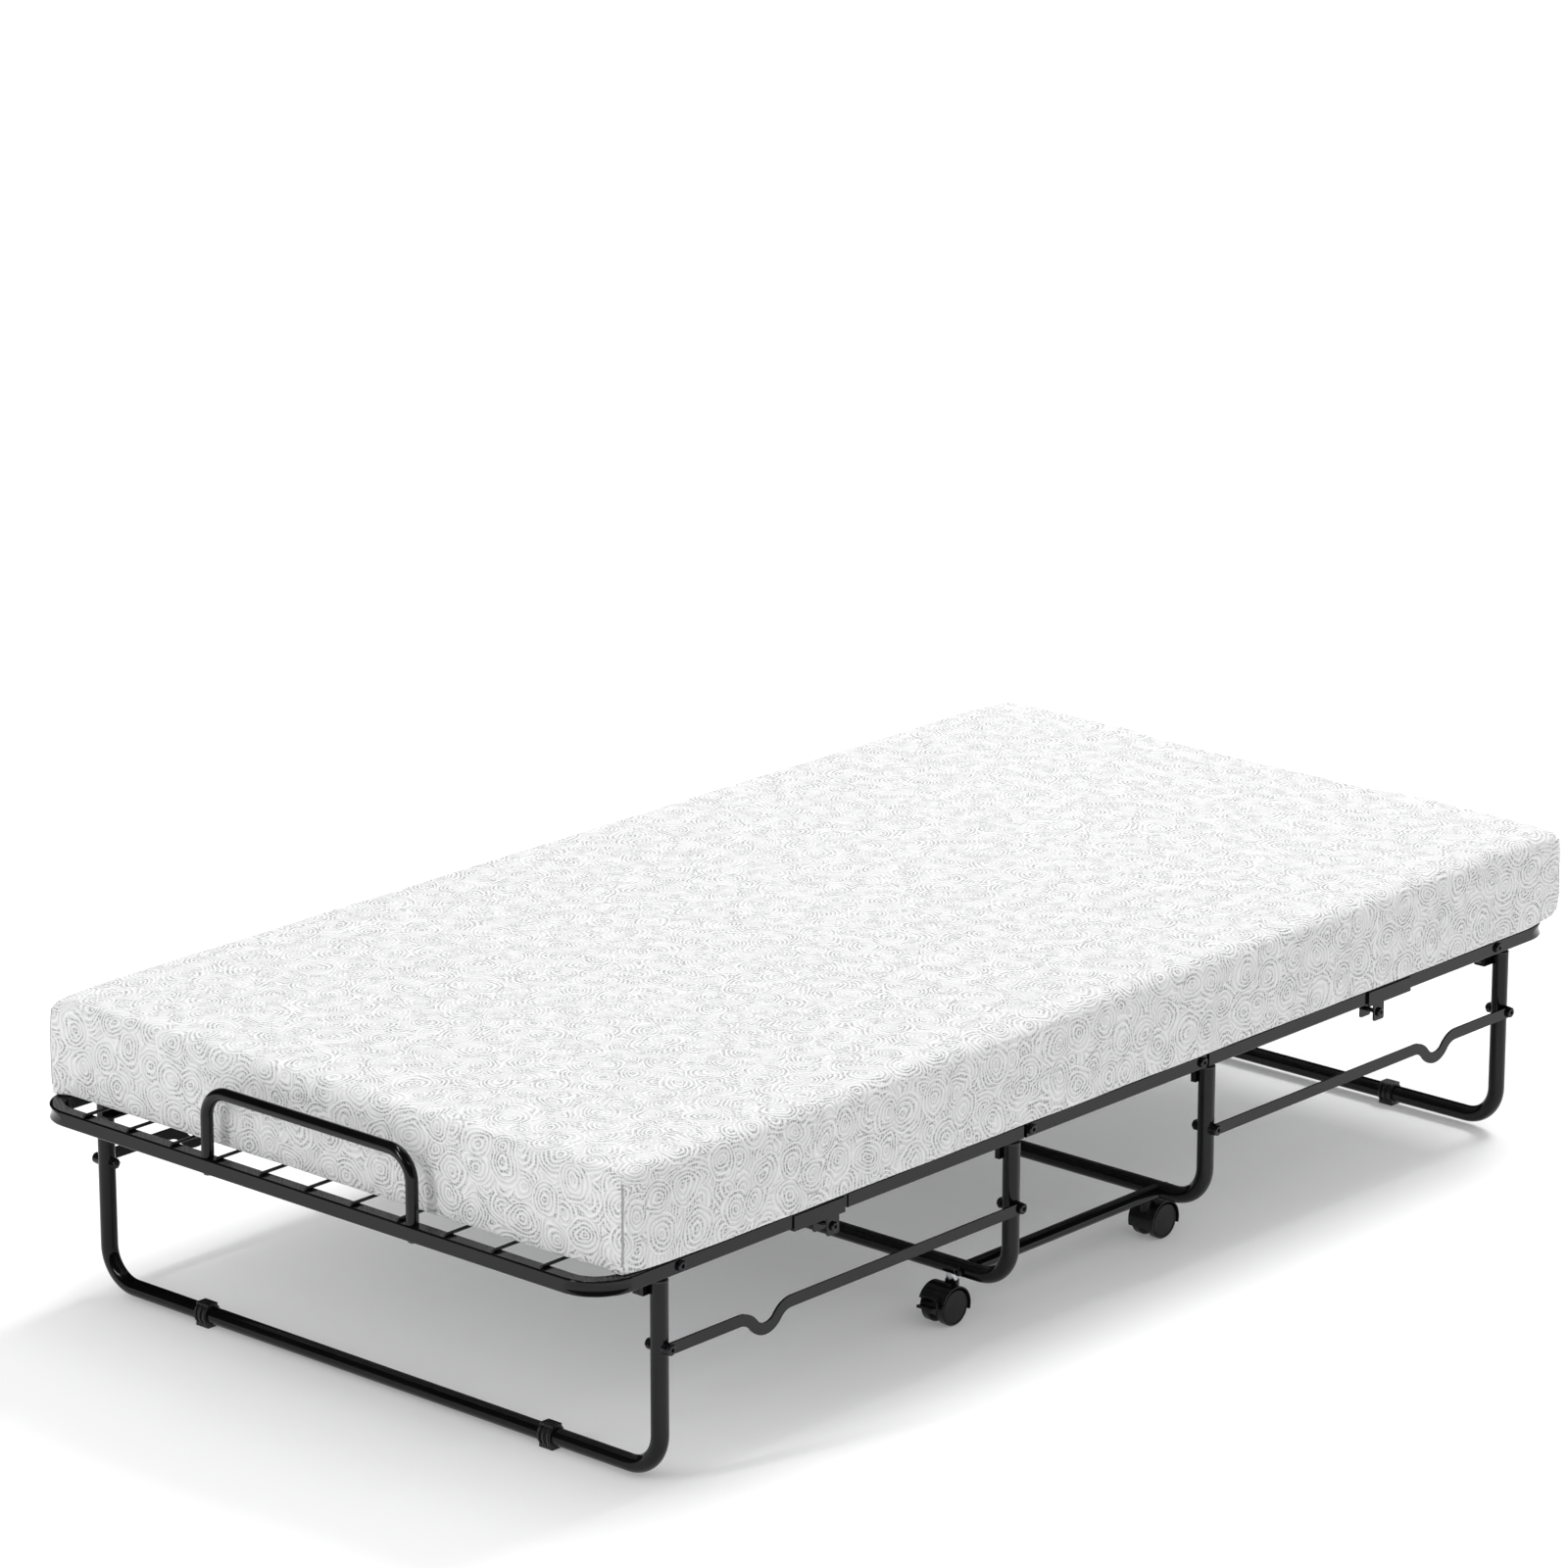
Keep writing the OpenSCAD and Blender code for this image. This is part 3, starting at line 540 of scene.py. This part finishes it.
def mattressShell(low, high, fixed):
    m = mattress
    xs = cuts(low[0], high[0], m["topRound"], m["topRound"], m["step"], fixed)
    ys = cuts(low[1], high[1], m["topRound"], m["topRound"], m["step"])
    zs = cuts(low[2], high[2], m["bottomRound"], m["topRound"], m["step"])
    n = [len(xs) - 1, len(ys) - 1, len(zs) - 1]
    half = [(high[i] - low[i]) / 2 for i in range(3)]
    centre = [(high[i] + low[i]) / 2 for i in range(3)]
    sharp, index, faces = [], {}, []

    def vertex(i, j, k):
        if (i, j, k) not in index:
            index[i, j, k] = len(sharp)
            sharp.append((xs[i], ys[j], zs[k]))
        return index[i, j, k]

    for i in range(n[0]):
        for j in range(n[1]):
            for k, face in ((0, "bottom"), (n[2], "top")):
                ring = [(i, j, k), (i + 1, j, k), (i + 1, j + 1, k), (i, j + 1, k)]
                faces.append((face, ring if face == "top" else ring[::-1]))
    for i in range(n[0]):
        for k in range(n[2]):
            for j, face in ((0, "near"), (n[1], "far")):
                ring = [(i, j, k), (i + 1, j, k), (i + 1, j, k + 1), (i, j, k + 1)]
                faces.append((face, ring if face == "near" else ring[::-1]))
    for j in range(n[1]):
        for k in range(n[2]):
            for i, face in ((0, "foot"), (n[0], "head")):
                ring = [(i, j, k), (i, j, k + 1), (i, j + 1, k + 1), (i, j + 1, k)]
                faces.append((face, ring if face == "foot" else ring[::-1]))

    polygons = [[vertex(*c) for c in ring] for _, ring in faces]
    places = [
        clothPlace(sharp[v], face, low, high)
        for (face, _), polygon in zip(faces, polygons)
        for v in polygon
    ]
    panel = [
        face == "bottom"
        and all(
            low[i] + m["border"] < sharp[v][i] < high[i] - m["border"]
            for v in polygon
            for i in (0, 1)
        )
        for (face, _), polygon in zip(faces, polygons)
    ]
    points = [softened(roundedCorner(p, half, centre), half, centre) for p in sharp]
    mesh = bpy.data.meshes.new("mattressShell")
    mesh.from_pydata([tuple(p) for p in points], [], polygons)
    mesh.uv_layers.new(name="cloth")
    mesh.uv_layers["cloth"].data.foreach_set("uv", np.array(places).ravel())
    mesh.polygons.foreach_set("material_index", [int(p) for p in panel])
    mesh.polygons.foreach_set("use_smooth", [True] * len(polygons))
    shell = bpy.data.objects.new("mattressShell", mesh)
    scene.collection.objects.link(shell)
    return shell


def pointsOf(obj):
    co = np.zeros(len(obj.data.vertices) * 3)
    obj.data.vertices.foreach_get("co", co)
    return co.reshape(-1, 3)


def applyModifiers(obj):
    graph = bpy.context.evaluated_depsgraph_get()
    mesh = bpy.data.meshes.new_from_object(obj.evaluated_get(graph))
    obj.modifiers.clear()
    obj.data = mesh


def halfOf(shell, name, keepFoot):
    # cuts the shell at the bed's middle and closes the cut
    work = bmesh.new()
    work.from_mesh(shell.data)
    cut = bmesh.ops.bisect_plane(
        work,
        geom=work.verts[:] + work.edges[:] + work.faces[:],
        dist=0.01 * mm,
        plane_co=(middleX, 0, 0),
        plane_no=(1, 0, 0),
        clear_outer=keepFoot,
        clear_inner=not keepFoot,
    )
    rim = [e for e in cut["geom_cut"] if isinstance(e, bmesh.types.BMEdge)]
    rim = [e for e in rim if e.is_valid and e.is_boundary]
    for e in rim:
        e.smooth = False
    bmesh.ops.holes_fill(work, edges=rim, sides=0)
    mesh = bpy.data.meshes.new(name)
    work.to_mesh(mesh)
    work.free()
    obj = bpy.data.objects.new(name, mesh)
    scene.collection.objects.link(obj)
    return obj


def foldWeights(obj):
    co = pointsOf(obj)


knit = {  # double-knit polyester jacquard over wadding: soft white with rings pressed into it
    "colour": "#dddddd",
    # painted shade: the bottoms of the pressed ring grooves are coloured darker than the ridges
    "shadedGroove": "#d0d0d1",
    # painted shade: the sunk holes of the stitching along the grooves are coloured darker grey
    "stitchHoleShade": "#9a9b9d",
    "fanSize": 54 * mm,
    "fanScatter": 0.75,
    "fanEdge": (0.5, 0.47),  # in fan sizes, as the dome's slope is
    "dome": (0.5, 0.1),
    "backShare": 0.8,  # the fans behind are smaller and lie shifted
    "backShift": (0.37, 0.61, 0.0),
    "ringPitch": 6.0 * mm,
    "ringDepth": 1.8 * mm,
    "bend": 24 * mm,
    "bendSize": 60 * mm,
    "stitchPitch": 4.2 * mm,
    "stitchEdge": (0.42, 0.24),  # in stitch pitches
    "patchSize": 24 * mm,
    "patchEdge": (0.4, 0.58),
    "heights": {"dome": 0.9, "loops": 0.35, "stitches": -0.9},  # against a ring's
    "loopSize": 2.2 * mm,  # the loops are about 0.8 mm, drawn coarser so that they show
}


def knitMaterial():
    material, tree = newMaterial("jacquardKnit")
    cloth = addNode(tree, "ShaderNodeTexCoord").outputs["UV"]
    bend = addNode(
        tree,
        "ShaderNodeTexNoise",
        {"Scale": 1 / knit["bendSize"], "Detail": 2.0, "noise_dimensions": "2D"},
        {"Vector": cloth},
    ).outputs["Color"]
    bentBy = addNode(
        tree,
        "ShaderNodeVectorMath",
        {"operation": "SCALE", "Scale": knit["bend"]},
        {0: bend},
    ).outputs["Vector"]
    bent = addNode(
        tree, "ShaderNodeVectorMath", {"operation": "ADD"}, {0: cloth, 1: bentBy}
    ).outputs["Vector"]

    scatter = knit["fanScatter"]

    def rings(size, shift):
        # rings round scattered middles, and the distance to the nearest one in fan sizes
        moved = addNode(
            tree, "ShaderNodeVectorMath", {"operation": "ADD", 1: shift}, {0: bent}
        ).outputs["Vector"]
        fans = addNode(
            tree,
            "ShaderNodeTexVoronoi",
            {"voronoi_dimensions": "2D", "Scale": 1 / size, "Randomness": scatter},
            {"Vector": moved},
        ).outputs["Distance"]
        turn = addNode(
            tree,
            "ShaderNodeMath",
            {"operation": "MULTIPLY", 1: 2 * math.pi * size / knit["ringPitch"]},
            {0: fans},
        ).outputs["Value"]
        swing = addNode(
            tree, "ShaderNodeMath", {"operation": "COSINE"}, {0: turn}
        ).outputs["Value"]
        ridge = addNode(
            tree,
            "ShaderNodeMapRange",
            {"From Min": -1.0, "From Max": 0.5},
            {"Value": swing},
        ).outputs["Result"]
        return ridge, fans

    frontRidge, frontFar = rings(knit["fanSize"], (0.0, 0.0, 0.0))
    backRidge, _ = rings(knit["fanSize"] * knit["backShare"], knit["backShift"])
    start, end = knit["fanEdge"]
    inFront = addNode(
        tree,
        "ShaderNodeMapRange",
        {"From Min": start, "From Max": end, "interpolation_type": "SMOOTHSTEP"},
        {"Value": frontFar},
    ).outputs["Result"]
    ridges = addNode(
        tree,
        "ShaderNodeMix",
        {"data_type": "FLOAT"},
        {0: inFront, 2: backRidge, 3: frontRidge},
    ).outputs[0]
    start, end = knit["dome"]
    dome = addNode(
        tree,
        "ShaderNodeMapRange",
        {"From Min": start, "From Max": end, "interpolation_type": "SMOOTHSTEP"},
        {"Value": frontFar},
    ).outputs["Result"]
    stitches = addNode(
        tree,
        "ShaderNodeTexVoronoi",
        {
            "voronoi_dimensions": "2D",
            "Scale": 1 / knit["stitchPitch"],
            "Randomness": 0.5,
        },
        {"Vector": cloth},
    ).outputs["Distance"]
    start, end = knit["stitchEdge"]
    hole = addNode(
        tree,
        "ShaderNodeMapRange",
        {"From Min": start, "From Max": end},
        {"Value": stitches},
    ).outputs["Result"]
    patchNoise = addNode(
        tree,
        "ShaderNodeTexNoise",
        {"Scale": 1 / knit["patchSize"], "Detail": 1.0, "noise_dimensions": "2D"},
        {"Vector": cloth},
    ).outputs["Fac"]
    start, end = knit["patchEdge"]
    patches = addNode(
        tree,
        "ShaderNodeMapRange",
        {"From Min": start, "From Max": end},
        {"Value": patchNoise},
    ).outputs["Result"]
    shadedGroove = addNode(
        tree, "ShaderNodeMath", {"operation": "SUBTRACT", 0: 1.0}, {1: ridges}
    ).outputs["Value"]
    # where the holes of the stitching sink into the grooves; this sets both their relief and their painted shade
    stitchHolesAndShade = addNode(
        tree, "ShaderNodeMath", {"operation": "MULTIPLY"}, {0: hole, 1: shadedGroove}
    ).outputs["Value"]
    stitchHolesAndShade = addNode(
        tree, "ShaderNodeMath", {"operation": "MULTIPLY"}, {0: stitchHolesAndShade, 1: patches}
    ).outputs["Value"]
    loops = addNode(
        tree,
        "ShaderNodeTexNoise",
        {"Scale": 1 / knit["loopSize"], "Detail": 2.0, "noise_dimensions": "2D"},
        {"Vector": cloth},
    ).outputs["Fac"]
    height = ridges
    for part, name in ((dome, "dome"), (loops, "loops"), (stitchHolesAndShade, "stitches")):
        height = addNode(
            tree,
            "ShaderNodeMath",
            {"operation": "MULTIPLY_ADD", 1: knit["heights"][name]},
            {0: part, 2: height},
        ).outputs["Value"]
    bump = addNode(
        tree,
        "ShaderNodeBump",
        {"Strength": 0.8, "Distance": knit["ringDepth"]},
        {"Height": height},
    ).outputs["Normal"]
    # painted shade: the ramp colours the ring grooves darker towards their bottoms, as if shade fell there
    colour = ramp(tree, ridges, [(0.0, knit["shadedGroove"]), (0.5, knit["colour"])])
    # painted shade: the holes of the stitching are mixed in darker grey over the grooves' painted shade; the rest
    # is the knit's own white
    yarnAndPaintedShade = addNode(
        tree,
        "ShaderNodeMix",
        {"data_type": "RGBA", 7: toLinear(knit["stitchHoleShade"])},
        {0: stitchHolesAndShade, 6: colour},
    ).outputs[2]
    finishMaterial(
        tree,
        {
            "Roughness": 0.9,
            "Specular IOR Level": 0.25,
            "Sheen Weight": 0.2,
            "Sheen Roughness": 0.5,
        },
        {"Base Color": yarnAndPaintedShade, "Normal": bump},
    )
    return material


backing = {  # spun polyester cloth with rubber dots that stop the pad from sliding
    "cloth": "#b3b5b7",
    "dot": "#85878a",
    "dotPitch": 6.5 * mm,
    "dotSize": 2.6 * mm,
    "fibreSize": 3 * mm,  # bundles of fibres, drawn coarser so that they show
    "relief": 0.5 * mm,
}


def backingMaterial():
    material, tree = newMaterial("dottedBacking")
    cloth = addNode(tree, "ShaderNodeTexCoord").outputs["UV"]
    dots = addNode(
        tree,
        "ShaderNodeTexVoronoi",
        {
            "voronoi_dimensions": "2D",
            "Scale": 1 / backing["dotPitch"],
            "Randomness": 0.0,
        },
        {"Vector": cloth},
    ).outputs["Distance"]
    edge = backing["dotSize"] / 2 / backing["dotPitch"]
    dot = addNode(
        tree,
        "ShaderNodeMapRange",
        {"From Min": edge * 0.85, "From Max": edge, "To Min": 1.0, "To Max": 0.0},
        {"Value": dots},
    ).outputs["Result"]
    fibres = addNode(
        tree,
        "ShaderNodeTexNoise",
        {"Scale": 1 / backing["fibreSize"], "Detail": 3.0, "noise_dimensions": "2D"},
        {"Vector": cloth},
    ).outputs["Fac"]
    raised = addNode(
        tree,
        "ShaderNodeMath",
        {"operation": "MULTIPLY_ADD", 1: 0.3},
        {0: fibres, 2: dot},
    ).outputs["Value"]
    bump = addNode(
        tree,
        "ShaderNodeBump",
        {"Strength": 0.7, "Distance": backing["relief"]},
        {"Height": raised},
    ).outputs["Normal"]
    colour = ramp(tree, dot, [(0.0, backing["cloth"]), (1.0, backing["dot"])])
    finishMaterial(
        tree, {"Roughness": 0.85}, {"Base Color": colour, "Normal": bump}
    )
    return material


def makeMattress():
    # unseeded, the ripples would start from the clock and differ from run to run
    noise.seed_set(mattress["seed"])
    low = [
        min(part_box(n)[0][i] for n in ("foot_mattress", "mattress_centre"))
        for i in range(3)
    ]
    high = [
        max(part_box(n)[1][i] for n in ("head_mattress", "mattress_centre"))
        for i in range(3)
    ]
    shell = mattressShell(low, high, [middleX])
    shell.modifiers.new("smooth", "SUBSURF").levels = 1
    applyModifiers(shell)
    cover, panel = knitMaterial(), backingMaterial()
    pieces = []
    for name, body, pivot, inward in (
        ("mattressFootHalf", "foot_deck", footPivot, 1),
        ("mattressHeadHalf", "head_deck", headPivot, -1),
    ):
        piece = halfOf(shell, name, inward > 0)
        piece.data.materials.append(cover)
        piece.data.materials.append(panel)
        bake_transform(piece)
        foldWeights(piece)
        pieces.append(piece)
    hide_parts("foot_mattress", "mattress_centre")
    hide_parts("head_mattress")
    bpy.data.objects.remove(shell)
    return pieces


seamCord = {  # a cord sewn into the upright corners of the cover
    "radius": 1.4 * mm,
    "sunk": 0.4 * mm,
    "lowEnd": 8 * mm,
    "highEnd": 17 * mm,
    "points": 12,
    "smoothed": 3,
    "search": 40 * mm,
    "layer": 7 * mm,
}


def cornerSeams(pieces):
    # each cord follows the cover's outermost points, found layer by layer
    c = seamCord
    low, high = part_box("foot_mattress")[0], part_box("head_mattress")[1]
    for piece, body, x, name in (
        (pieces[0], "foot_deck", low.x, "Foot"),
        (pieces[1], "head_deck", high.x, "Head"),
    ):
        co = pointsOf(piece)
        for side, y in (("Near", low.y), ("Far", high.y)):
            corner = np.array((x, y))
            outward = np.sign(corner - np.array((middleX, 0)))
            nearby = co[np.abs(co[:, :2] - corner).max(axis=1) < c["search"]]
            bottom, top = low.z + c["lowEnd"], high.z - c["highEnd"]
            route = []
            for z in np.linspace(bottom, top, c["points"]):
                layer = nearby[np.abs(nearby[:, 2] - z) < c["layer"]]
                far = layer[np.argmax(layer[:, :2] @ outward)]
                route.append((far[0], far[1], z))
            route = np.array(route)
            for _ in range(c["smoothed"]):
                route[1:-1, :2] = (
                    route[:-2, :2] + 2 * route[1:-1, :2] + route[2:, :2]
                ) / 4
            route[:, :2] -= outward * c["sunk"]
            curve = bpy.data.curves.new("cornerSeam", "CURVE")
            curve.dimensions = "3D"
            curve.bevel_depth = c["radius"]
            curve.bevel_resolution = 3
            curve.use_fill_caps = True
            spline = curve.splines.new("POLY")
            spline.points.add(len(route) - 1)
            for point, place in zip(spline.points, route):
                point.co = (*place, 1)
            seam = bpy.data.objects.new(f"cornerSeam{name}{side}", curve)
            scene.collection.objects.link(seam)
            curve.materials.append(pieces[0].data.materials[0])
            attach(seam, body)


mattressPieces = makeMattress()
cornerSeams(mattressPieces)
print("mattress made:", [len(p.data.vertices) for p in mattressPieces], "points")
